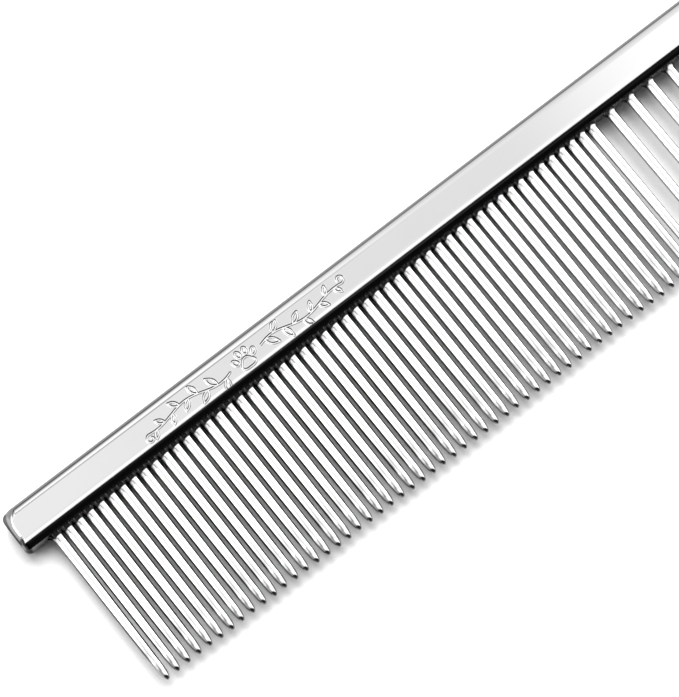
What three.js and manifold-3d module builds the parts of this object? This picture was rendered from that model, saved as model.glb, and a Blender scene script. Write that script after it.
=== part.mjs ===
// Steel grooming comb: a chamfered bar with one row of tapered round pins.
// Millimetres, +Z up. X runs along the spine, from the fine end (-X) to the coarse end (+X).
// The pins point to -Y. The origin is the centre of the spine's lower broad face.
import * as THREE from 'three';
import { mergeVertices } from 'three/addons/utils/BufferGeometryUtils.js';
import Module from 'manifold-3d';

const wasm = await Module();
wasm.setup();

// Spine bar
const SPINE_LENGTH = 190.5;
const SPINE_HEIGHT = 5.9;
const SPINE_THICKNESS = 4.7;
const SPINE_CHAMFER = 0.93;
const BACK_ROUNDING = 1.2;
const BACK_ROUNDING_STEPS = 4;
const END_ROUNDING = 0.85;
const END_ROUNDING_STEPS = 3;

// The row of pins: close together on the fine half, wide apart on the coarse half
const FINE_COUNT = 52;
const FINE_PITCH = 1.74;
const COARSE_PITCH = 3.32;
const RAKE_COUNT = 7;
const PINS_PER_RAKE = 4;

// One pin: its radius at each distance from the spine, outwards to the tip
const PIN_ROOT_RADIUS = 0.74;
const PIN_LENGTH = 23.8;
const PIN_TAPER = [
  { out: 12.0, radius: 0.69 },
  { out: 19.2, radius: 0.61 },
  { out: 22.6, radius: 0.48 },
  { out: 23.5, radius: 0.33 },
];
const PIN_SIDES = 8;

// Seats of the pins in the spine. A seat's cutter starts a little outside the spine.
const SEAT_OVERSHOOT = 0.59;
const FINE_SEAT_DEPTH = 4.3;
const FINE_CLEARANCE = 0.06;
const COARSE_CLEARANCE = 0.15;
const LINK_HEIGHT = 1.2;
const LINK_THICKNESS = 1.5;

const COARSE_COUNT = RAKE_COUNT * PINS_PER_RAKE;
const ROW_LENGTH = (FINE_COUNT - 1) * FINE_PITCH + COARSE_COUNT * COARSE_PITCH;
const FIRST_PIN_X = -ROW_LENGTH / 2;
const FIRST_COARSE_X = FIRST_PIN_X + (FINE_COUNT - 1) * FINE_PITCH + COARSE_PITCH;
const MID_Z = SPINE_THICKNESS / 2;
const ROOT_Y = -SPINE_HEIGHT / 2;

const spineSteel = new THREE.MeshStandardMaterial({
  name: 'polished_spine', color: 0xd9dadb, roughness: 0.08, metalness: 1.0,
});
const pinSteel = new THREE.MeshStandardMaterial({
  name: 'polished_pins', color: 0xe2e3e4, roughness: 0.06, metalness: 1.0,
});

// A closed three.js geometry as a solid that can be joined and cut.
function solidFrom(geometry) {
  const bare = geometry.clone();
  bare.deleteAttribute('normal');
  bare.deleteAttribute('uv');
  const merged = mergeVertices(bare, 1e-5);
  const index = Array.from(merged.index.array);
  const triangles = [];
  for (let i = 0; i < index.length; i += 3) {
    const [a, b, c] = index.slice(i, i + 3);
    if (a !== b && b !== c && c !== a) triangles.push(a, b, c);
  }
  return new wasm.Manifold(new wasm.Mesh({
    numProp: 3,
    vertProperties: Float32Array.from(merged.attributes.position.array),
    triVerts: Uint32Array.from(triangles),
  }));
}

function geometryFrom(solid) {
  const mesh = solid.getMesh();
  const geometry = new THREE.BufferGeometry();
  geometry.setAttribute('position', new THREE.BufferAttribute(mesh.vertProperties, 3));
  geometry.setIndex(new THREE.BufferAttribute(mesh.triVerts, 1));
  return geometry;
}

// An eight-sided turned piece about Y. Its flats face along X, where the seats are closest.
function turned(profile) {
  const points = profile.map(([radius, y]) => new THREE.Vector2(radius, y));
  return new THREE.LatheGeometry(points, PIN_SIDES, Math.PI / PIN_SIDES);
}

// The outline of a pin from its tip to the end of its shank, with Y = 0 at the spine's surface.
function pinProfile(seatDepth) {
  const taper = PIN_TAPER.map(({ out, radius }) => [radius, -out]).reverse();
  return [[0, -PIN_LENGTH], ...taper, [PIN_ROOT_RADIUS, 0], [PIN_ROOT_RADIUS, seatDepth], [0, seatDepth]];
}

// A round seat that clears a pin's shank and opens a little outside the spine.
function seatGeometry(clearance, depth) {
  const radius = PIN_ROOT_RADIUS + clearance;
  const mouth = -SEAT_OVERSHOOT;
  return turned([[0, mouth], [radius, mouth], [radius, depth], [0, depth]]);
}

function boxGeometry(lengthX, lengthY, lengthZ) {
  return new THREE.BoxGeometry(lengthX, lengthY, lengthZ);
}

function finePinX(number) {
  return FIRST_PIN_X + number * FINE_PITCH;
}

function coarsePinX(number) {
  return FIRST_COARSE_X + number * COARSE_PITCH;
}

function rakeCentreX(rake) {
  return coarsePinX(rake * PINS_PER_RAKE) + (PINS_PER_RAKE - 1) * COARSE_PITCH / 2;
}

// The link bar's length: from the outer side of a rake's first pin to that of its last.
function linkLength() {
  return (PINS_PER_RAKE - 1) * COARSE_PITCH + 2 * PIN_ROOT_RADIUS;
}

// The bar's section, drawn in the XY plane: its corners are cut at 45 degrees on the tooth side
// and rounded on the back.
function spineSection() {
  const z = SPINE_THICKNESS / 2;
  const y = SPINE_HEIGHT / 2;
  const cut = SPINE_CHAMFER;
  const round = BACK_ROUNDING;
  const section = new THREE.Shape();
  section.moveTo(-z + cut, -y);
  section.lineTo(z - cut, -y);
  section.lineTo(z, -y + cut);
  section.absarc(z - round, y - round, round, 0, Math.PI / 2, false);
  section.absarc(-z + round, y - round, round, Math.PI / 2, Math.PI, false);
  section.lineTo(-z, -y + cut);
  section.closePath();
  return section;
}

// The plain bar along X, its two ends rounded over.
function barGeometry() {
  const geometry = new THREE.ExtrudeGeometry(spineSection(), {
    depth: SPINE_LENGTH - 2 * END_ROUNDING,
    steps: 1,
    curveSegments: BACK_ROUNDING_STEPS,
    bevelEnabled: true,
    bevelThickness: END_ROUNDING,
    bevelSize: END_ROUNDING,
    bevelOffset: -END_ROUNDING,
    bevelSegments: END_ROUNDING_STEPS,
  });
  geometry.translate(0, 0, -(SPINE_LENGTH - 2 * END_ROUNDING) / 2);
  geometry.rotateY(Math.PI / 2);
  geometry.translate(0, 0, MID_Z);
  return geometry;
}

// The bar with a blind seat for each fine pin, and for each rake four through holes
// and a slot along the back edge that takes the link bar flush.
function spineGeometry() {
  let spine = solidFrom(barGeometry());
  const fineSeat = solidFrom(seatGeometry(FINE_CLEARANCE, FINE_SEAT_DEPTH + FINE_CLEARANCE));
  for (let i = 0; i < FINE_COUNT; i += 1) {
    spine = spine.subtract(fineSeat.translate([finePinX(i), ROOT_Y, MID_Z]));
  }
  const throughHole = solidFrom(seatGeometry(COARSE_CLEARANCE, SPINE_HEIGHT - LINK_HEIGHT / 2));
  for (let i = 0; i < COARSE_COUNT; i += 1) {
    spine = spine.subtract(throughHole.translate([coarsePinX(i), ROOT_Y, MID_Z]));
  }
  const slotDepth = LINK_HEIGHT + COARSE_CLEARANCE;
  const slot = solidFrom(boxGeometry(
    linkLength() + 2 * COARSE_CLEARANCE, 2 * slotDepth, LINK_THICKNESS + 2 * COARSE_CLEARANCE,
  ));
  for (let i = 0; i < RAKE_COUNT; i += 1) {
    spine = spine.subtract(slot.translate([rakeCentreX(i), SPINE_HEIGHT / 2, MID_Z]));
  }
  return geometryFrom(spine);
}

function finePinGeometry() {
  return turned(pinProfile(FINE_SEAT_DEPTH));
}

// Four coarse pins on one link bar, with X = 0 at the middle of the four.
function rakeGeometry() {
  const linkY = SPINE_HEIGHT - LINK_HEIGHT / 2;
  let rake = solidFrom(boxGeometry(linkLength(), LINK_HEIGHT, LINK_THICKNESS)).translate([0, linkY, 0]);
  const pin = solidFrom(turned(pinProfile(linkY)));
  for (let i = 0; i < PINS_PER_RAKE; i += 1) {
    rake = rake.add(pin.translate([(i - (PINS_PER_RAKE - 1) / 2) * COARSE_PITCH, 0, 0]));
  }
  return geometryFrom(rake);
}

function named(name, geometry, material) {
  const mesh = new THREE.Mesh(geometry, material);
  mesh.name = name;
  return mesh;
}

// A group of pieces set on the spine's tooth side, at the middle of its thickness.
function pinRow() {
  const row = new THREE.Group();
  row.position.set(0, ROOT_Y, MID_Z);
  const finePin = finePinGeometry();
  for (let i = 0; i < FINE_COUNT; i += 1) {
    const pin = named(`fine_pin_${String(i + 1).padStart(2, '0')}`, finePin, pinSteel);
    pin.position.x = finePinX(i);
    row.add(pin);
  }
  const rakeShape = rakeGeometry();
  for (let i = 0; i < RAKE_COUNT; i += 1) {
    const rake = named(`coarse_rake_${i + 1}`, rakeShape, pinSteel);
    rake.position.x = rakeCentreX(i);
    row.add(rake);
  }
  return row;
}

const comb = new THREE.Group();
comb.add(named('spine', spineGeometry(), spineSteel));
comb.add(pinRow());

export default comb;
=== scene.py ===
"""Steel grooming comb lying on a pale studio floor.

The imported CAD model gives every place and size. Each of its nodes is stood for by a finely modelled
piece: the spine is a lofted bar with crisp tooth-side edges, a rounded back, rounded ends and an
engraved ornament, and each pin is a turned piece with a flared root and a blunt round tip.
Lengths named here are in millimetres until mm() turns them into metres.
"""

import math
import random

import bmesh
import bpy
import numpy as np
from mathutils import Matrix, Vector


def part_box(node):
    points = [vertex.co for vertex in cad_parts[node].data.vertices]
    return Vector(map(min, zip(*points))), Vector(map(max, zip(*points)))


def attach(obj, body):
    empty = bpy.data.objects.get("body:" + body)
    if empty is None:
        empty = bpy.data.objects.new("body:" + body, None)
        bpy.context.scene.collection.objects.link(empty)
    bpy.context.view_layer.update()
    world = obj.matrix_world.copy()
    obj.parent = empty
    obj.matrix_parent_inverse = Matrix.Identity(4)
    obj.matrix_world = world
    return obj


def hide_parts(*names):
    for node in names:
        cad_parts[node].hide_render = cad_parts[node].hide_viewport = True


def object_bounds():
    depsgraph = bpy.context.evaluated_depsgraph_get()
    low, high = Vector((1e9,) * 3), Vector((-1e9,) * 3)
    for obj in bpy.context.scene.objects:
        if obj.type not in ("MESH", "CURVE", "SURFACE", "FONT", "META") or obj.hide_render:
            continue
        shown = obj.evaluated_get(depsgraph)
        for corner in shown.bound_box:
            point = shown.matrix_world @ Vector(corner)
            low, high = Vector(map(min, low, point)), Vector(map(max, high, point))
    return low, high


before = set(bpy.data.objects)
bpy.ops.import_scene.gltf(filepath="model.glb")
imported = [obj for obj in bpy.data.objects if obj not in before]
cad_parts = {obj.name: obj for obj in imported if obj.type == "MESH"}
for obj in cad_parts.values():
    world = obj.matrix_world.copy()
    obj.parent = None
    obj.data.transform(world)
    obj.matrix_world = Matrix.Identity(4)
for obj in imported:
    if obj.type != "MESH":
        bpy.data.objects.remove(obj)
cad_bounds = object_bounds()

SEED = 7
FINE_NODES = sorted(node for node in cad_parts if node.startswith("fine_pin_"))
COARSE_NODES = sorted(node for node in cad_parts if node.startswith("coarse_rake_"))

# Spine surface
CHAMFER = 0.89            # tooth-side chamfer, measured along each face
EDGE_RADIUS = 0.12        # the crisp edges of that chamfer
BACK_RADIUS = 1.46        # the rounded back corners
BACK_REACH = 0.07         # how far the back stands out past the CAD box
EDGE_ROLL = 0.89          # how far from the chamfer the broad face starts to roll over
EDGE_ROLL_DROP = 0.105
SIDE_CROWN = 0.03         # how far the narrow sides bulge
CHAMFER_CROWN = 0.02
GUARD = 0.05              # distance from an arc to the next point on a flat
ARC_STEPS = 8
BACK_ARC_STEPS = 24
FACE_COLUMNS = 62
SIDE_COLUMNS = 6

# Spine ends
END_CORNER = 0.85         # rounding of the upright corners
END_CORNER_BACK = 1.3     # how much wider that rounding is at the back
END_RIM = 0.24            # rounding between the end and each broad face
END_REACH = 0.08          # how far the end stands out past the CAD box
END_DRAFT = 0.52          # how far the broad faces draw back from the end all along
END_BOW = 1.8             # and how much more towards its corners
END_BOW_MIDDLE = -0.5     # where across the bar they reach furthest out
END_BOW_TOOTH_SIDE = 1.55  # how much sooner they draw back towards the tooth side
END_BOW_LIMIT = 0.50      # where that stops growing
END_TOOTH_SIDE = (-2.3, -1.2)  # across the bar: where all of it fades away to the upright end
END_BOW_FADE = 4.5        # how far along the bar the drawing back dies out
END_BOW_RINGS = 7
END_CUT = 0.34            # how much wider the chamfer gets across the broad face
END_CUT_FADE = (0.12, 0.60)    # and where that dies out, inwards from the end
END_DOME = 0.04
END_STEPS = 9
# Rings that close an end, as shares of its outline
CAP_RINGS = (0.98, 0.92, 0.85, 0.77, 0.68, 0.58, 0.47, 0.35, 0.22, 0.09)
STATION_STEP = 3.0

# Pins: (distance from the spine, radius), outwards to where the nose starts
PIN_BODY = [(0.0, 0.740), (6.0, 0.718), (12.0, 0.690), (16.0, 0.655), (19.2, 0.625), (21.0, 0.600)]
PIN_RADIUS, NOSE_START = PIN_BODY[0][1], PIN_BODY[-1][0]
NOSE_FULLNESS = 3.0       # how late the nose leans in
NOSE_BLUNTNESS = 0.42     # how round its end is: the smaller, the blunter
PIN_SINK = 0.15           # how much of the shank is modelled inside the spine
PIN_REACH = 0.28          # how far the tips stand out past the CAD pins
PIN_LEAN = (0.0022, 0.0015)    # most sideways and most up or down, for each unit of length
PIN_STRETCH = 0.004       # most that a pin is longer or shorter, as a share of its length
PIN_STRETCH_UP = 0.4      # share of that by which a pin may be longer
FLARE_POWER = 1.6
FINE_FLARE = (0.85, 0.60, 0.26)      # at the roots: length, growth in width, growth in height
LAST_FINE_FLARE = (0.75, 0.48, 0.14)
FLARE_CHANGE = (0.45, 0.90)    # where along the fine pins the first turns into the last
COARSE_FLARE = (0.70, 0.42, 0.13)
PIN_SIDES = 36
FLARE_RINGS = 8
BODY_RING_STEP = 1.2
NOSE_RINGS = 18
PINS_PER_RAKE = 4

# Engraved ornament
ORNAMENT_FROM_FIRST_PIN = 33.2   # centre of the ornament along the spine
ORNAMENT_HALF_LENGTH = 17.2
ORNAMENT_STEP = 0.06
STROKE_HALF_WIDTH = 0.17
STROKE_DEPTH = 0.085
STROKE_FLOOR = 0.45              # share of the half width that is the flat bottom
PAW_TOES = [(-1.42, 0.28, 0.5), (-0.52, 0.98, 0.15), (0.52, 0.98, -0.15), (1.42, 0.28, -0.5)]
TOE_SIZE = (0.30, 0.50)          # half width and half length. A toe above is (u, v, turn).
SPRIG_START = 2.7                # from the middle of the paw
SPRIG_LENGTH = 13.4
SPRIG_WAVE = 0.62                # how far the stem swings, and the radius of the curl at its end
SPRIG_TAPER = 0.45               # share by which stem swing and leaves shrink towards the end
LEAVES = 9
LEAF_SIZE = (2.1, 0.40)          # length and half width
LEAF_TURN = 0.95                 # away from the stem, in radians

# Chrome. Noise scales are for each metre.
SPINE_REFLECTANCE = 0.430
PIN_REFLECTANCE = 0.440
CLOUD_SCALE = 55.0
CLOUD_SHADE = (0.975, 0.05)      # the shade where the noise is 0, and what is added where it is 1
SMEAR_SCALE = 140.0
LINE_SCALE = (60.0, 6000.0)      # polishing lines: along them, and across
LINE_BUMP = 0.004                # their depth
LINE_BUMP_STRENGTH = 0.06
FROST_SCALE = 9000.0
ROUGHNESS = 0.022                # of clean metal
SMEAR_ROUGHNESS = 0.035
POLISH_ROUGHNESS = 0.020
COARSE_ROUGHNESS = 0.09          # what the coarse pins have more
ROOT_BAND_ROUGHNESS = 0.08
FROST_OFFSET = 0.12              # taken off the noise that frosts the engraving

# Painted shade: how much light each darkened area takes away, from 0 to 1, and its soft edges as two
# distances
FINE_ROOT_SHADE = 0.88                # painted shade on the tooth side between the fine roots
COARSE_ROOT_SHADE = 0.50              # and between the coarse ones
END_ROOT_SHADE = 0.3                  # share of it that is left outside the first pin
ROOT_SHADE_INWARDS = (0.10, 0.25)     # from the tooth side
ROOT_SHADE_TOP = (-0.95, -0.80)       # from the upper face
ROOT_SHADE_CHANGE = (0.0, 3.0)        # from the last fine pin
ROOT_SHADE_START = (-0.9, 0.0)        # from the first fine pin
RIM_SHADE = 0.68              # painted shade on the narrow sides
RIM_TOP = (-0.30, -0.20)         # from the upper face
RIM_BOTTOM = (0.22, 0.36)        # from the lower face
END_SHADE = (0.60, 0.25)      # painted shade on the ends: halfway up, and next to the upper face
END_EDGE_TINT = (0.30, 0.60)     # how bright they are at a glancing angle, at the same two places, darkened as painted shade
END_UPPER = (-1.4, -1.0)         # from the upper face
END_TOP = (-0.16, -0.08)         # from the upper face
END_START = (-0.9, -0.6)         # from the end
FACET_SHADE = (0.93, 0.50)    # painted shade where the chamfer turns into the end: inwards, and at the end
FACET_OUTWARDS = (-0.17, -0.07)  # from the end
FACET_ACROSS = (-1.35, -1.0)     # from the middle of the bar
CUT_SLOPE_SHADE = 0.90               # painted shade on the slopes of the engraving
CUT_SLOPE = (0.0, 0.12, 0.88, 1.0)   # the depths at which a slope starts and ends, as shares
PIN_ROOT_SHADE = 0.97              # painted shade on the low flanks of the pin roots
ROOT_OUTWARDS = (-0.75, -0.50)   # from the tooth side
ROOT_TOP = (0.35, 0.60)          # from the pins' axis
FIRST_ROOT = (-0.60, -0.40)      # from the first pin's axis: outside it the root is dull all over
FLANK_SHADE = 0.75            # painted shade on the flanks of the first fine pins
FLANK_HEIGHT = (0.40, 0.52)      # from the pins' axis
FLANK_CHANGE = (37.0, -10.0)     # where it fades away: from the first and the last fine pin
FLANK_OUTWARDS = (-9.0, -1.0)    # from the tooth side
FLANK_AT_ROOT = 0.4              # share of it that is left at the roots
NOSE_EDGE = (-1.0, 1.0)          # from where the nose starts
FLANK_AT_NOSE = 0.25
PIN_EDGE_TINT = (0.30, 0.80)     # how bright the pins are at a glancing angle, first and last: painted shade at their edges
COARSE_START = (0.0, 2.0)        # from the last fine pin

# Camera, against the comb's own plane
VIEW_AZIMUTH = -38.16
VIEW_ELEVATION = 76.7
VIEW_DISTANCE = 476.4
AIM_FROM_FIRST_PIN = 43.97
AIM_FROM_SPINE_MIDDLE = 6.32
LENS = 188.47
SENSOR = 36.0

# Studio. A wall's brightness goes with the height of the direction: 0 level, 1 straight up.
STUDIO_STRENGTH = 2.6
LEFT_WALL = [
    (0.0, 0.126), (0.09, 0.133), (0.22, 0.20), (0.35, 0.33), (0.46, 0.55), (0.58, 0.85), (0.66, 0.95),
]
RIGHT_WALL = [(0.0, 0.30), (0.09, 0.38), (0.22, 0.46), (0.35, 0.54), (0.56, 0.64), (0.80, 0.72)]
SIDE_WALL = [(0.0, 0.10), (0.04, 0.5), (0.12, 1.0)]
SIDE_BRIGHTNESS = (1.3, 3.4)     # of the side walls where they are full: forward, and further back
ROOF_BRIGHTNESS = 0.97
FRONT_GLOW = [
    (0.0, 0.03), (0.10, 0.0), (0.42, 0.0), (0.54, 0.10),
    (0.66, 0.0), (0.77, 0.0), (0.81, 0.02), (0.85, 0.0),
]
FRONT_BRIGHTNESS = 0.008
FRONT_END_BRIGHTNESS = 0.03
KEY_STRENGTH = 10.6
KEY_SPREAD = 54.0
KEY_FROM = (0.28, 0.50, 0.82)
FLOOR_BRIGHTNESS = 0.34
FLOOR_GRAIN = 0.06
FLOOR_GRAIN_SCALE = 4000.0
FLOOR_RADIUS = 2500.0
FLOOR_SIDES = 96


def mm(length):
    return length / 1000.0


# ---------------------------------------------------------------- mesh helpers

def mesh_object(name, vertices, faces, material):
    """A smooth-shaded mesh object from points in millimetres."""
    mesh = bpy.data.meshes.new(name)
    mesh.from_pydata([tuple(mm(c) for c in v) for v in vertices], [], faces)
    mesh.validate()
    mesh.polygons.foreach_set("use_smooth", [True] * len(mesh.polygons))
    mesh.update()
    obj = bpy.data.objects.new(name, mesh)
    bpy.context.scene.collection.objects.link(obj)
    mesh.materials.append(material)
    return obj


def ring_faces(ring_count, side_count):
    """Quads that join successive closed rings of side_count points."""
    faces = []
    for ring in range(ring_count - 1):
        low = ring * side_count
        high = low + side_count
        for side in range(side_count):
            after = (side + 1) % side_count
            faces.append((low + side, low + after, high + after, high + side))
    return faces


def smoothstep(low, high, value):
    """0 up to low, 1 from high on, and a smooth rise between them."""
    t = np.clip((value - low) / (high - low), 0.0, 1.0)
    return t * t * (3.0 - 2.0 * t)


# ---------------------------------------------------------------- spine

def corner_arc(before, corner, after, radius, steps):
    """Points of the arc of this radius that rounds a corner between two straight runs."""
    before, corner, after = (np.array(p, float) for p in (before, corner, after))
    to_before = (before - corner) / np.linalg.norm(before - corner)
    to_after = (after - corner) / np.linalg.norm(after - corner)
    half = math.acos(np.clip(to_before @ to_after, -1.0, 1.0)) / 2.0
    bisector = (to_before + to_after) / np.linalg.norm(to_before + to_after)
    centre = corner + bisector * radius / math.sin(half)
    start = corner + to_before * radius / math.tan(half) - centre
    end = corner + to_after * radius / math.tan(half) - centre
    sweep = math.pi - 2.0 * half
    points = []
    for step in range(steps + 1):
        t = step / steps
        blend = (math.sin((1.0 - t) * sweep) * start + math.sin(t * sweep) * end) / math.sin(sweep)
        points.append(centre + blend)
    return points


def flat_points(start, end, columns, crown):
    """Points strictly between two ends of a flat run, close to both ends and then evenly."""
    length = np.linalg.norm(end - start)
    along = (end - start) / length
    outward = np.array([-along[1], along[0]])
    guard = min(GUARD, length / 4.0)
    distances = [guard + (length - 2.0 * guard) * i / columns for i in range(columns + 1)]
    return [
        start + along * d + outward * crown * 4.0 * (d / length) * (1.0 - d / length)
        for d in distances
    ]


def spine_section(half_height, thickness, side_inset, face_inset, face_cut):
    """Closed outline of the bar as (y, z) points, and which of them lie on the top face.

    It runs up the tooth side, over the top face, down the back and along the bottom face.
    """
    y = half_height - side_inset
    back = half_height + BACK_REACH - END_CORNER_BACK * side_inset
    low, high = face_inset, thickness - face_inset
    corners = [
        ((-y, low + CHAMFER), EDGE_RADIUS, ARC_STEPS),
        ((-y, high - CHAMFER), EDGE_RADIUS, ARC_STEPS),
        ((-y + face_cut, high), EDGE_RADIUS, ARC_STEPS),
        ((back, high), BACK_RADIUS, BACK_ARC_STEPS),
        ((back, low), BACK_RADIUS, BACK_ARC_STEPS),
        ((-y + face_cut, low), EDGE_RADIUS, ARC_STEPS),
    ]
    runs = [
        (SIDE_COLUMNS, SIDE_CROWN),
        (SIDE_COLUMNS, CHAMFER_CROWN),
        (FACE_COLUMNS, 0.0),
        (SIDE_COLUMNS, SIDE_CROWN),
        (SIDE_COLUMNS, 0.0),
        (SIDE_COLUMNS, CHAMFER_CROWN),
    ]
    arcs = []
    for i, (corner, radius, steps) in enumerate(corners):
        before = corners[i - 1][0]
        after = corners[(i + 1) % len(corners)][0]
        arcs.append(corner_arc(before, corner, after, radius, steps))
    points = []
    on_top = []
    for i, arc in enumerate(arcs):
        columns, crown = runs[i]
        run = flat_points(arc[-1], arcs[(i + 1) % len(arcs)][0], columns, crown)
        points += arc + run
        on_top += [False] * len(arc) + [i == 2] * len(run)
    return np.array(points), np.array(on_top)


def end_profile():
    """The rounding of a spine end: (distance from the end, side inset, face inset), inwards."""
    distances = set()
    for radius in (END_RIM, END_CORNER):
        for step in range(END_STEPS + 1):
            distances.add(round(radius * (1.0 - math.cos(0.5 * math.pi * step / END_STEPS)), 5))
    distances.add(END_CORNER + GUARD)
    return [(d, arc_inset(END_CORNER, d), arc_inset(END_RIM, d)) for d in sorted(distances)]


def drawn_back(y, z, half_height, thickness):
    """How far the end surface lies inside its ridge at half the thickness."""
    across = (y - END_BOW_MIDDLE) / (half_height - END_BOW_MIDDLE)
    across = np.where(across < 0.0, np.minimum(-across * END_BOW_TOOTH_SIDE, END_BOW_LIMIT), across)
    height = np.abs(2.0 * z / thickness - 1.0)
    kept = smoothstep(*END_TOOTH_SIDE, y)
    return kept * (END_DRAFT + END_BOW * across ** 3) * height ** 1.3


def arc_inset(radius, distance):
    """How far a rounded corner lies inside its side, at a distance from where it starts."""
    rest = max(radius - distance, 0.0)
    return radius - math.sqrt(radius * radius - rest * rest)


def spine_stations(length, ornament_x):
    """Places of the plain rings along the bar: wide apart, and close together at the ornament."""
    inner = length / 2.0 - END_BOW_FADE
    left = ornament_x - ORNAMENT_HALF_LENGTH
    right = ornament_x + ORNAMENT_HALF_LENGTH
    count = round(2.0 * ORNAMENT_HALF_LENGTH / ORNAMENT_STEP)
    engraved = list(np.linspace(left, right, count + 1))
    before = list(np.arange(-inner, left - STATION_STEP / 2.0, STATION_STEP))
    after = list(np.arange(inner, right + STATION_STEP / 2.0, -STATION_STEP))[::-1]
    return before + engraved + after


def ellipse(centre, half_width, half_height, turn, steps=28):
    points = []
    for step in range(steps + 1):
        a = 2.0 * math.pi * step / steps
        u, v = half_width * math.cos(a), half_height * math.sin(a)
        points.append((
            centre[0] + u * math.cos(turn) - v * math.sin(turn),
            centre[1] + u * math.sin(turn) + v * math.cos(turn),
        ))
    return points


def paw_strokes():
    """A generic paw print: one rounded pad and four toes, drawn as outlines."""
    pad = []
    for step in range(49):
        a = 2.0 * math.pi * step / 48
        swell = 1.0 + 0.13 * math.cos(3.0 * (a - math.pi / 2.0))
        pad.append((0.98 * swell * math.cos(a), -0.62 + 0.74 * swell * math.sin(a)))
    strokes = [pad]
    for u, v, turn in PAW_TOES:
        strokes.append(ellipse((u, v), *TOE_SIZE, turn))
    return strokes


def leaf(base, direction, length, width):
    """An almond-shaped leaf outline from its base along a direction."""
    side = (-direction[1], direction[0])
    points = []
    for step in range(25):
        t = step / 12.0
        along = (t if t <= 1.0 else 2.0 - t) * length
        bulge = width * math.sin(math.pi * along / length) * (1.0 if t <= 1.0 else -1.0)
        points.append((
            base[0] + direction[0] * along + side[0] * bulge,
            base[1] + direction[1] * along + side[1] * bulge,
        ))
    return points


def sprig_strokes(side):
    """A tapering wavy stem with leaves on alternate sides and a curl, from the paw outwards."""

    def stem(t):
        wave = SPRIG_WAVE * math.sin(2.6 * math.pi * t + 0.4) * (1.0 - SPRIG_TAPER * t)
        return (side * (SPRIG_START + SPRIG_LENGTH * t), side * wave)

    strokes = [[stem(t) for t in np.linspace(0.0, 1.0, 70)]]
    for number in range(LEAVES):
        t = 0.06 + 0.105 * number
        base, ahead = stem(t), stem(t + 0.01)
        heading = math.atan2(ahead[1] - base[1], ahead[0] - base[0])
        turn = (LEAF_TURN if number % 2 else -LEAF_TURN) * side
        direction = (math.cos(heading + turn), math.sin(heading + turn))
        length, width = (size * (1.0 - SPRIG_TAPER * t) for size in LEAF_SIZE)
        strokes.append(leaf(base, direction, length, width))
    curl_x, curl_y = stem(1.0)
    curl = []
    for t in np.linspace(0.0, 1.0, 30):
        radius = SPRIG_WAVE * (1.0 - 0.55 * t)
        curl.append((
            curl_x + side * radius * math.sin(1.6 * math.pi * t),
            curl_y + side * (SPRIG_WAVE - radius * math.cos(1.6 * math.pi * t)),
        ))
    strokes.append(curl)
    return strokes


def stroke_distance(points, strokes):
    """Distance from each point to the nearest stroke."""
    best = np.full(len(points), 1e9)
    for stroke in strokes:
        line = np.array(stroke)
        near = np.all(points > line.min(0) - 1.0, axis=1) & np.all(points < line.max(0) + 1.0, axis=1)
        chosen = points[near]
        if not len(chosen):
            continue
        found = best[near]
        for a, b in zip(line[:-1], line[1:]):
            run = b - a
            size = float(run @ run)
            if size < 1e-12:
                continue
            t = np.clip(((chosen - a) @ run) / size, 0.0, 1.0)
            gap = chosen - a - t[:, None] * run
            found = np.minimum(found, np.hypot(gap[:, 0], gap[:, 1]))
        best[near] = found
    return best


def spine_size():
    """Length, half height and thickness of the spine, and the centre of its lower face."""
    low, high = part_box("spine")
    length = (high.x - low.x) * 1000.0
    half_height = (high.y - low.y) * 500.0
    thickness = (high.z - low.z) * 1000.0
    centre = np.array([(low.x + high.x) * 500.0, (low.y + high.y) * 500.0, low.z * 1000.0])
    return length, half_height, thickness, centre


def spine_rings(length, ornament_x):
    """Every ring along the bar: (x, distance from the end, side inset, face inset, way inwards)."""
    end_x = length / 2.0 + END_REACH
    profile = end_profile()
    for distance in np.linspace(END_CORNER, END_BOW_FADE, END_BOW_RINGS + 1)[1:]:
        profile.append((distance, 0.0, 0.0))
    rings = [(-end_x + d, d, side_inset, face_inset, 1.0) for d, side_inset, face_inset in profile]
    rings += [(x, END_BOW_FADE, 0.0, 0.0, 0.0) for x in spine_stations(length, ornament_x)]
    rings += [(end_x - d, d, side_inset, face_inset, -1.0) for d, side_inset, face_inset in profile[::-1]]
    return rings


def bar_ring(ring, half_height, thickness):
    """The points of one ring of the bar, and which of them lie on the top face."""
    x, distance, side_inset, face_inset, inward = ring
    face_cut = CHAMFER + END_CUT * (1.0 - float(smoothstep(*END_CUT_FADE, distance)))
    section, on_top = spine_section(half_height, thickness, side_inset, face_inset, face_cut)
    y, z = section[:, 0], section[:, 1]
    fade = 1.0 - float(smoothstep(0.0, END_BOW_FADE, distance))
    along = x + inward * fade * drawn_back(y, z, half_height, thickness)
    from_chamfer = y + half_height - CHAMFER
    rolled = np.clip(1.0 - from_chamfer / EDGE_ROLL, 0.0, 1.0) ** 2 * EDGE_ROLL_DROP
    return np.column_stack([along, y, z - np.where(on_top, rolled, 0.0)]), on_top


def engraved_share(points, on_top, ornament_x):
    """How deep each point lies in the ornament: 0 on the plain face, 1 on a stroke's floor."""
    face_middle = (CHAMFER - BACK_RADIUS) / 2.0
    strokes = paw_strokes() + sprig_strokes(1.0) + sprig_strokes(-1.0)
    local = points[:, :2] - np.array([ornament_x, face_middle])
    near = on_top & (np.abs(local[:, 0]) < ORNAMENT_HALF_LENGTH)
    from_stroke = stroke_distance(local[near], strokes) / STROKE_HALF_WIDTH
    engraved = np.zeros(len(points))
    engraved[near] = 1.0 - smoothstep(STROKE_FLOOR, 1.0, from_stroke)
    return engraved


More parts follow.
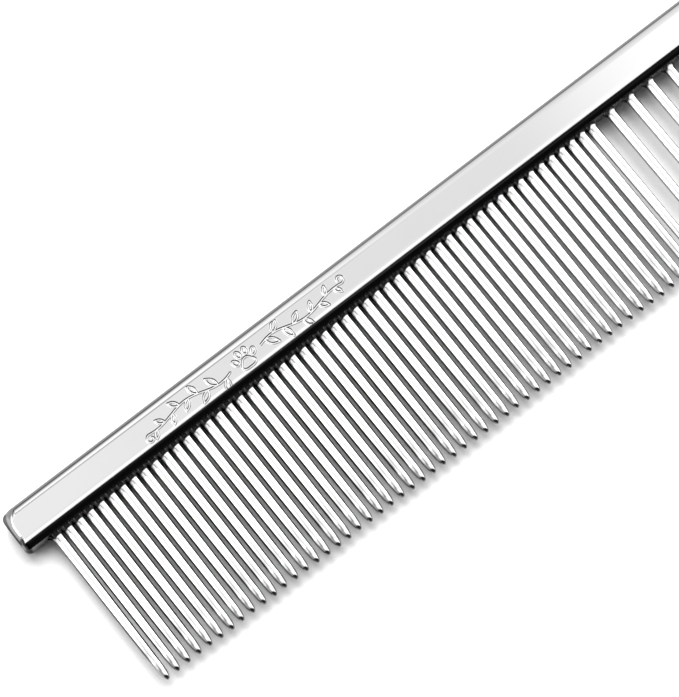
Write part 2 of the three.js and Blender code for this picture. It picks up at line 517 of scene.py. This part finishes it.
def end_cap(outline, outline_start, cap_start, outward, size):
    """Points and faces that close the bar over its end ring.

    The outline's points are numbered from outline_start and the new ones from cap_start.
    """
    length, half_height, thickness = size
    side_count = len(outline)
    middle = outline.mean(0)
    points, faces = [], []
    previous = outline_start
    for shrink in CAP_RINGS:
        ring = middle + (outline - middle) * shrink
        inside_ridge = drawn_back(ring[:, 1], ring[:, 2], half_height, thickness)
        dome = END_DOME * (1.0 - shrink ** 2)
        ring[:, 0] = outward * (length / 2.0 + END_REACH + dome - inside_ridge)
        current = cap_start + len(points)
        points += list(ring)
        for side in range(side_count):
            after = (side + 1) % side_count
            faces.append((previous + side, previous + after, current + after, current + side))
        previous = current
    faces.append(tuple(previous + side for side in range(side_count)))
    return points, faces


def make_spine(material):
    length, half_height, thickness, centre = spine_size()
    ornament_x = first_pin_x() + ORNAMENT_FROM_FIRST_PIN - centre[0]
    rings = [bar_ring(ring, half_height, thickness) for ring in spine_rings(length, ornament_x)]
    points = np.concatenate([ring for ring, _ in rings])
    on_top = np.concatenate([flags for _, flags in rings])
    side_count = len(rings[0][0])
    faces = ring_faces(len(rings), side_count)

    engraved = engraved_share(points, on_top, ornament_x)
    points[:, 2] -= engraved * STROKE_DEPTH

    last_ring = (len(rings) - 1) * side_count
    for start, outward in ((0, -1.0), (last_ring, 1.0)):
        outline = points[start:start + side_count]
        size = (length, half_height, thickness)
        cap_points, cap_faces = end_cap(outline, start, len(points), outward, size)
        points = np.concatenate([points, cap_points])
        faces += cap_faces

    spine = mesh_object("spine_bar", points + centre, faces, material)
    fix_normals(spine)
    depths = np.zeros(len(points), np.float32)
    depths[:len(engraved)] = engraved
    layer = spine.data.attributes.new("engraved", "FLOAT", "POINT")
    layer.data.foreach_set("value", depths)
    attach(spine, "root")
    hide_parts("spine")


def fix_normals(obj):
    """Turns every face of a closed mesh outwards."""
    work = bmesh.new()
    work.from_mesh(obj.data)
    bmesh.ops.recalc_face_normals(work, faces=work.faces)
    work.to_mesh(obj.data)
    work.free()


# ---------------------------------------------------------------- pins

def first_pin_x():
    low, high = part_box(FINE_NODES[0])
    return (low.x + high.x) * 500.0


def nose_profile():
    """The blunt tip from NOSE_START to its end."""
    start_radius = PIN_BODY[-1][1]
    reach = pin_length() - NOSE_START
    points = []
    for step in range(1, NOSE_RINGS):
        u = 1.0 - (1.0 - step / NOSE_RINGS) ** 2
        radius = start_radius * (1.0 - u ** NOSE_FULLNESS) ** NOSE_BLUNTNESS
        points.append((NOSE_START + reach * u, radius))
    return points


def pin_length():
    spine_low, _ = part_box("spine")
    pin_low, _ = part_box(FINE_NODES[0])
    return (spine_low.y - pin_low.y) * 1000.0 + PIN_REACH


def body_radius(out):
    """Radius of the pin's body at a distance from the spine, by straight runs between PIN_BODY."""
    outs, radii = zip(*PIN_BODY)
    return float(np.interp(out, outs, radii))


def pin_rings(flare_length):
    """The turned profile as (distance out from the spine, radius, share of the root flare)."""
    rings = [(-PIN_SINK, PIN_RADIUS, (1.0 + PIN_SINK / flare_length) ** FLARE_POWER)]
    for step in range(FLARE_RINGS + 1):
        share = step / FLARE_RINGS
        out = flare_length * share
        rings.append((out, body_radius(out), (1.0 - share) ** FLARE_POWER))
    count = round((NOSE_START - flare_length) / BODY_RING_STEP)
    for step in range(1, count + 1):
        out = flare_length + (NOSE_START - flare_length) * step / count
        rings.append((out, body_radius(out), 0.0))
    rings += [(out, radius, 0.0) for out, radius in nose_profile()]
    return rings


def pin_mesh(x, root_y, z, flare, lean_x, lean_z, stretch):
    """Vertices and faces of one turned pin, standing out of the tooth side towards -Y."""
    flare_length, flare_width, flare_height = flare
    rings = pin_rings(flare_length)
    points = []
    for out, radius, share in rings:
        reach = out * stretch if out > 0.0 else out
        for side in range(PIN_SIDES):
            angle = 2.0 * math.pi * side / PIN_SIDES
            across, up = math.cos(angle), math.sin(angle)
            grown = radius + share * (flare_width * across ** 2 + flare_height * up ** 2)
            points.append((
                x + grown * across + lean_x * reach,
                root_y - reach,
                z + grown * up + lean_z * reach,
            ))
    tip_reach = pin_length() * stretch
    points.append((x + lean_x * tip_reach, root_y - tip_reach, z + lean_z * tip_reach))
    tip = len(points) - 1
    faces = ring_faces(len(rings), PIN_SIDES)
    last = (len(rings) - 1) * PIN_SIDES
    for side in range(PIN_SIDES):
        faces.append((last + side, last + (side + 1) % PIN_SIDES, tip))
    faces.append(tuple(range(PIN_SIDES)))
    return points, faces


def make_pin_piece(name, node, pin_xs, flare, chance, material):
    """One piece that stands for a CAD node with one pin or several."""
    spine_low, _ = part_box("spine")
    node_low, node_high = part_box(node)
    root_y = spine_low.y * 1000.0
    z = (node_low.z + node_high.z) * 500.0
    points, faces = [], []
    for x in pin_xs:
        lean_x = chance.uniform(-1.0, 1.0) * PIN_LEAN[0]
        lean_z = chance.uniform(-1.0, 1.0) * PIN_LEAN[1]
        stretch = 1.0 + chance.uniform(-1.0, PIN_STRETCH_UP) * PIN_STRETCH
        more_points, more_faces = pin_mesh(x, root_y, z, flare, lean_x, lean_z, stretch)
        start = len(points)
        points += more_points
        faces += [tuple(start + i for i in face) for face in more_faces]
    piece = mesh_object(name, points, faces, material)
    fix_normals(piece)
    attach(piece, "root")
    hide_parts(node)


def make_pins(material):
    chance = random.Random(SEED)
    for number, node in enumerate(FINE_NODES):
        low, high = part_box(node)
        x = (low.x + high.x) * 500.0
        later = float(smoothstep(*FLARE_CHANGE, number / (len(FINE_NODES) - 1)))
        flare = [first + (last - first) * later for first, last in zip(FINE_FLARE, LAST_FINE_FLARE)]
        make_pin_piece(f"{node}_steel", node, [x], flare, chance, material)
    for node in COARSE_NODES:
        low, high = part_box(node)
        first = low.x * 1000.0 + PIN_RADIUS
        last = high.x * 1000.0 - PIN_RADIUS
        xs = np.linspace(first, last, PINS_PER_RAKE)
        make_pin_piece(f"{node}_pins", node, xs, COARSE_FLARE, chance, material)


# ---------------------------------------------------------------- materials

class Nodes:
    """Short calls for building a node tree."""

    def __init__(self, tree):
        self.tree = tree
        self.tree.nodes.clear()

    def add(self, kind, **settings):
        node = self.tree.nodes.new(kind)
        for key, value in settings.items():
            setattr(node, key, value)
        return node

    def link(self, source, target):
        self.tree.links.new(source, target)

    def math(self, operation, *inputs):
        node = self.add("ShaderNodeMath", operation=operation)
        for socket, value in zip(node.inputs, inputs):
            if isinstance(value, (int, float)):
                socket.default_value = value
            else:
                self.link(value, socket)
        return node.outputs[0]

    def product(self, first, *others):
        for other in others:
            first = self.math("MULTIPLY", first, other)
        return first

    def remainder(self, share):
        return self.math("SUBTRACT", 1.0, share)

    def distance(self, value, place):
        return self.math("ABSOLUTE", self.math("SUBTRACT", value, place))

    def axes(self, vector):
        node = self.add("ShaderNodeSeparateXYZ")
        self.link(vector, node.inputs[0])
        return tuple(node.outputs)

    def band(self, value, rise_from, rise_to, fall_from, fall_to):
        """1 between a smooth rise and a smooth fall, and 0 outside them."""
        risen = self.step(value, rise_from, rise_to)
        return self.product(risen, self.step(value, fall_from, fall_to, 1.0, 0.0))

    def step(self, value, low, high, from_value=0.0, to_value=1.0):
        """from_value up to low, to_value from high on, and a smooth step between them."""
        node = self.add("ShaderNodeMapRange", interpolation_type="SMOOTHSTEP")
        self.link(value, node.inputs["Value"])
        node.inputs["From Min"].default_value = low
        node.inputs["From Max"].default_value = high
        node.inputs["To Min"].default_value = from_value
        node.inputs["To Max"].default_value = to_value
        return node.outputs["Result"]

    def blend(self, share, first, second):
        """A mix of two numbers: the first at share 0, the second at share 1."""
        node = self.add("ShaderNodeMix", data_type="FLOAT")
        for key, value in (("Factor", share), ("A", first), ("B", second)):
            if isinstance(value, (int, float)):
                node.inputs[key].default_value = value
            else:
                self.link(value, node.inputs[key])
        return node.outputs["Result"]

    def curve(self, value, stops):
        """A grey ramp through (position, brightness) stops."""
        node = self.add("ShaderNodeValToRGB")
        ramp = node.color_ramp
        ramp.interpolation = "EASE"
        while len(ramp.elements) < len(stops):
            ramp.elements.new(1.0)
        for element, (position, level) in zip(ramp.elements, stops):
            element.position = position
            element.color = (level, level, level, 1.0)
        self.link(value, node.inputs["Fac"])
        return node.outputs["Color"]

    def noise(self, vector, scale, detail=2.0, roughness=0.5):
        node = self.add("ShaderNodeTexNoise")
        self.link(vector, node.inputs["Vector"])
        node.inputs["Scale"].default_value = scale
        node.inputs["Detail"].default_value = detail
        node.inputs["Roughness"].default_value = roughness
        return node.outputs["Fac"]

    def stretched(self, vector, scale):
        node = self.add("ShaderNodeMapping")
        self.link(vector, node.inputs["Vector"])
        node.inputs["Scale"].default_value = scale
        return node.outputs["Vector"]


def new_material(name):
    material = bpy.data.materials.new(name)
    material.use_nodes = True
    return material, Nodes(material.node_tree)


def span(origin, distances):
    """The two places that lie these distances, in millimetres, from an origin in metres."""
    return [origin + mm(distance) for distance in distances]


def painted_root_band(n, place):
    """Painted shade on the tooth side: heavy between the close fine pins, light further on."""
    spine_low, spine_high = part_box("spine")
    first_fine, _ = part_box(FINE_NODES[0])
    _, last_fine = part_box(FINE_NODES[-1])
    x, y, z = n.axes(place)
    side = n.step(y, *span(spine_low.y, ROOT_SHADE_INWARDS), 1.0, 0.0)
    below = n.step(z, *span(spine_high.z, ROOT_SHADE_TOP), 1.0, 0.0)
    amount = n.step(x, *span(last_fine.x, ROOT_SHADE_CHANGE), FINE_ROOT_SHADE, COARSE_ROOT_SHADE)
    inside = n.step(x, *span(first_fine.x, ROOT_SHADE_START), END_ROOT_SHADE, 1.0)
    return n.product(side, below, amount, inside)


def painted_rim_shade(n, place):
    """How much painted shade darkens the narrow sides and the ends, and the tint of the ends at a glancing
    angle, lowered as painted shade.
    """
    low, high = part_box("spine")
    middle = (low + high) / 2.0
    half_length = high.x - middle.x
    x, y, z = n.axes(place)
    from_middle = n.distance(x, middle.x)
    at_end = n.step(from_middle, *span(half_length, END_START))
    upper = n.step(z, *span(high.z, END_UPPER))
    facet = n.step(from_middle, *span(half_length, FACET_OUTWARDS), *FACET_SHADE)
    upper_end = n.blend(n.step(y, *span(middle.y, FACET_ACROSS)), facet, END_SHADE[1])
    end_side = n.blend(upper, END_SHADE[0], upper_end)
    end_side = n.product(end_side, n.step(z, *span(high.z, END_TOP), 1.0, 0.0))
    long_side = n.step(z, *span(high.z, RIM_TOP), RIM_SHADE, 0.0)
    above_floor = n.step(z, *span(low.z, RIM_BOTTOM))
    rim_darkening = n.product(n.blend(at_end, long_side, end_side), above_floor)
    return rim_darkening, n.blend(at_end, 1.0, n.blend(upper, *END_EDGE_TINT))


def spine_finish_and_shade(n, place):
    """What the frosted engraving and the root band add to the roughness of the spine, what painted shade
    leaves of its tone, and the edge tint.
    """
    cut = n.add("ShaderNodeAttribute", attribute_name="engraved").outputs["Fac"]
    frost = n.math("SUBTRACT", n.noise(place, FROST_SCALE, 2.0, 0.6), FROST_OFFSET)
    # painted shade on the tooth side between the roots
    tooth_side_shade = painted_root_band(n, place)
    rougher = n.math("ADD", n.product(cut, frost), n.product(tooth_side_shade, ROOT_BAND_ROUGHNESS))
    # painted shade on the slopes of the engraving
    slope_darkening = n.product(n.band(cut, *CUT_SLOPE), CUT_SLOPE_SHADE)
    # painted shade on the narrow sides and ends, and their darker glancing tint
    rim_darkening, edge_tint = painted_rim_shade(n, place)
    left_by_painted_shade = n.product(n.remainder(tooth_side_shade), n.remainder(rim_darkening), n.remainder(slope_darkening))
    return rougher, left_by_painted_shade, edge_tint


def pin_finish_and_shade(n, place):
    """The same for the pins: painted shade at the low side of the roots and on the flanks of the first
    ones, and darker glancing edges on the first ones.
    """
    spine_low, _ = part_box("spine")
    first_low, first_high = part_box(FINE_NODES[0])
    _, last_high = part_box(FINE_NODES[-1])
    axis = (first_low + first_high) / 2.0
    x, y, z = n.axes(place)
    # painted shade at the low side of the roots
    at_root = n.step(y, *span(spine_low.y, ROOT_OUTWARDS))
    low_down = n.step(z, *span(axis.z, ROOT_TOP), 1.0, 0.0)
    outermost = n.step(x, *span(axis.x, FIRST_ROOT), 1.0, 0.0)
    root = n.product(at_root, n.math("MAXIMUM", low_down, outermost), PIN_ROOT_SHADE)

    # painted shade on the flanks of the first fine pins
    early = n.step(x, first_low.x + mm(FLANK_CHANGE[0]), last_high.x + mm(FLANK_CHANGE[1]), 1.0, 0.0)
    flank = n.step(n.distance(z, axis.z), *span(0.0, FLANK_HEIGHT), FLANK_SHADE, 0.0)
    away = n.step(y, *span(spine_low.y, FLANK_OUTWARDS), 1.0, FLANK_AT_ROOT)
    before_nose = n.step(y, *span(spine_low.y - mm(NOSE_START), NOSE_EDGE), FLANK_AT_NOSE, 1.0)
    flank = n.product(flank, early, away, before_nose)

    rougher = n.step(x, *span(last_high.x, COARSE_START), 0.0, COARSE_ROUGHNESS)
    left_by_painted_shade = n.remainder(n.math("MAXIMUM", root, flank))
    # the glancing edges of the first pins are darkened as painted shade
    return rougher, left_by_painted_shade, n.blend(early, PIN_EDGE_TINT[1], PIN_EDGE_TINT[0])


def chrome_material(name, reflectance, grain_axis, finish_and_painted_shade):
    """Bright chrome: a polished mirror with faint smears, fine polishing lines, rougher patches and
    painted shade.
    """
    material, n = new_material(name)
    place = n.add("ShaderNodeTexCoord").outputs["Object"]
    shader = n.add("ShaderNodeBsdfPrincipled")
    out = n.add("ShaderNodeOutputMaterial")
    n.link(shader.outputs["BSDF"], out.inputs["Surface"])
    shader.inputs["Metallic"].default_value = 1.0

    lines = [LINE_SCALE[1]] * 3
    lines[grain_axis] = LINE_SCALE[0]
    polish = n.noise(n.stretched(place, lines), 1.0, 3.0, 0.6)
    smear = n.noise(place, SMEAR_SCALE, 3.0, 0.55)
    rougher, left_by_painted_shade, edge_tint = finish_and_painted_shade(n, place)
    roughness = n.math("ADD", n.product(smear, SMEAR_ROUGHNESS), n.product(polish, POLISH_ROUGHNESS))
    roughness = n.math("ADD", n.math("ADD", roughness, ROUGHNESS), rougher)
    n.link(roughness, shader.inputs["Roughness"])
    # the edge tint darkens glancing edges as painted shade
    n.link(edge_tint, shader.inputs["Specular Tint"])

    cloud = n.noise(place, CLOUD_SCALE, 2.0)
    shade = n.math("ADD", n.product(cloud, CLOUD_SHADE[1]), CLOUD_SHADE[0])
    colour = n.add("ShaderNodeMix", data_type="RGBA", blend_type="MULTIPLY")
    colour.inputs["Factor"].default_value = 1.0
    colour.inputs["A"].default_value = (reflectance, reflectance, reflectance, 1.0)
    # the tone is multiplied by what the painted shade leaves
    n.link(n.product(shade, left_by_painted_shade), colour.inputs["B"])
    n.link(colour.outputs["Result"], shader.inputs["Base Color"])

    bump = n.add("ShaderNodeBump")
    bump.inputs["Strength"].default_value = LINE_BUMP_STRENGTH
    bump.inputs["Distance"].default_value = mm(LINE_BUMP)
    n.link(polish, bump.inputs["Height"])
    n.link(bump.outputs["Normal"], shader.inputs["Normal"])
    return material


def floor_material():
    """Matte pale studio surface with a barely visible paper grain."""
    material, n = new_material("studio_floor")
    place = n.add("ShaderNodeTexCoord").outputs["Object"]
    shader = n.add("ShaderNodeBsdfPrincipled")
    out = n.add("ShaderNodeOutputMaterial")
    n.link(shader.outputs["BSDF"], out.inputs["Surface"])
    shader.inputs["Roughness"].default_value = 0.9
    shader.inputs["Specular IOR Level"].default_value = 0.1
    grain = n.noise(place, FLOOR_GRAIN_SCALE, 2.0, 0.7)
    level = n.math("ADD", n.product(grain, FLOOR_GRAIN), FLOOR_BRIGHTNESS - FLOOR_GRAIN / 2.0)
    n.link(level, shader.inputs["Base Color"])
    return material


# ---------------------------------------------------------------- studio
# x, y and z are the parts of a direction of length 1: right, back and up.

def tent_walls(n, x, y, z):
    """The back wall fades to the horizon, less so at the right. The side walls stay bright."""
    back_wall = n.blend(n.step(x, 0.08, 0.20), n.curve(z, LEFT_WALL), n.curve(z, RIGHT_WALL))
    side_wall = n.product(n.curve(z, SIDE_WALL), n.step(y, 0.02, 0.10, *SIDE_BRIGHTNESS))
    return n.blend(n.step(n.math("ABSOLUTE", x), 0.35, 0.60), back_wall, side_wall)


def tent_roof(n, x, y):
    """The roof dims to the right in two steps, and evenly further forward, but not near the dark side.

    The far right is the brightest.
    """
    dim = n.math("ADD", n.step(x, -0.05, 0.02, 0.0, 0.23), n.step(x, 0.05, 0.15, 0.0, 0.07))
    dim = n.blend(n.step(y, 0.07, 0.11), 0.26, dim)
    dim = n.math("SUBTRACT", dim, n.step(x, 0.205, 0.275, 0.0, 0.33))
    dim = n.product(dim, n.step(y, -0.07, -0.03))
    return n.math("SUBTRACT", ROOF_BRIGHTNESS, dim)


def tent_seams(n, x, y):
    """How much light each dark seam takes away: one slants behind the roof, the others are at the left."""
    slant = n.math("ADD", y, n.product(x, 2.9))
    behind = n.product(n.band(slant, 0.51, 0.58, 0.72, 0.80), n.step(y, 0.22, 0.30, 0.0, 0.55))
    upper = n.product(n.band(x, -0.42, -0.26, -0.20, -0.04), n.step(y, 0.12, 0.17, 0.0, 0.40))
    lower = n.product(n.band(x, -0.92, -0.86, -0.80, -0.70), n.step(y, 0.08, 0.15, 0.0, 0.80))
    middle = n.product(n.band(x, -0.60, -0.48, -0.28, -0.17), n.band(y, -0.06, 0.0, 0.12, 0.15), 0.75)
    outer = n.product(n.step(x, -0.45, -0.30, 0.75, 0.0), n.step(y, 0.12, 0.15, 1.0, 0.0))
    return behind, upper, lower, middle, outer


def tent_front(n, x, z):
    """The dark side of the tent, with faint lines of light in it between its two ends."""
    slant = n.math("ADD", z, n.product(x, 0.6))
    line = n.product(n.band(slant, 0.345, 0.362, 0.372, 0.39), 0.035)
    lit = n.math("ADD", n.math("ADD", n.curve(z, FRONT_GLOW), FRONT_BRIGHTNESS), line)
    return n.blend(n.step(n.math("ABSOLUTE", x), 0.45, 0.65), lit, FRONT_END_BRIGHTNESS)


def studio_world():
    """A white tent with a bright roof, walls that darken to the horizon, and a dark side at -Y."""
    world = bpy.data.worlds.new("studio")
    world.use_nodes = True
    n = Nodes(world.node_tree)
    x, y, z = n.axes(n.add("ShaderNodeTexCoord").outputs["Generated"])
    level = n.blend(n.step(z, 0.90, 0.96), tent_walls(n, x, y, z), tent_roof(n, x, y))
    for seam in tent_seams(n, x, y):
        level = n.product(level, n.remainder(seam))
    behind_front = n.step(n.math("ADD", y, n.product(x, 0.08)), -0.34, -0.22)
    level = n.blend(behind_front, tent_front(n, x, z), level)
    background = n.add("ShaderNodeBackground")
    n.link(level, background.inputs["Color"])
    background.inputs["Strength"].default_value = STUDIO_STRENGTH
    out = n.add("ShaderNodeOutputWorld")
    n.link(background.outputs[0], out.inputs["Surface"])
    bpy.context.scene.world = world


def key_light():
    """A large soft light from above, behind and right of the comb, that shapes the shadows."""
    lamp = bpy.data.lights.new("key", "SUN")
    lamp.energy = KEY_STRENGTH
    lamp.angle = math.radians(KEY_SPREAD)
    key = bpy.data.objects.new("key", lamp)
    bpy.context.scene.collection.objects.link(key)
    key.rotation_mode = "QUATERNION"
    key.rotation_quaternion = Vector(KEY_FROM).to_track_quat("Z", "Y")
    key.visible_glossy = False


def make_floor():
    level = cad_bounds[0][2] * 1000.0
    points = [(0.0, 0.0, level)]
    faces = []
    for side in range(FLOOR_SIDES):
        angle = 2.0 * math.pi * side / FLOOR_SIDES
        points.append((FLOOR_RADIUS * math.cos(angle), FLOOR_RADIUS * math.sin(angle), level))
        faces.append((0, 1 + side, 1 + (side + 1) % FLOOR_SIDES))
    floor = mesh_object("floor", points, faces, floor_material())


def make_camera():
    spine_low, spine_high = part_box("spine")
    aim = Vector((
        mm(first_pin_x() + AIM_FROM_FIRST_PIN),
        (spine_low.y + spine_high.y) / 2.0 - mm(AIM_FROM_SPINE_MIDDLE),
        (spine_low.z + spine_high.z) / 2.0,
    ))
    azimuth, elevation = math.radians(VIEW_AZIMUTH), math.radians(VIEW_ELEVATION)
    back = Vector((
        math.sin(azimuth) * math.cos(elevation),
        -math.cos(azimuth) * math.cos(elevation),
        math.sin(elevation),
    ))
    camera = bpy.data.objects.new("camera", bpy.data.cameras.new("camera"))
    bpy.context.scene.collection.objects.link(camera)
    camera.location = aim + back * mm(VIEW_DISTANCE)
    camera.rotation_mode = "QUATERNION"
    camera.rotation_quaternion = (-back).to_track_quat("-Z", "Y")
    camera.data.lens = LENS
    camera.data.sensor_width = SENSOR
    camera.data.clip_start = mm(10.0)
    camera.data.clip_end = mm(20000.0)
    bpy.context.scene.camera = camera


bpy.context.scene.view_settings.view_transform = "Standard"
studio_world()
key_light()
make_camera()
make_floor()
make_spine(chrome_material("spine_chrome", SPINE_REFLECTANCE, 0, spine_finish_and_shade))
make_pins(chrome_material("pin_chrome", PIN_REFLECTANCE, 1, pin_finish_and_shade))
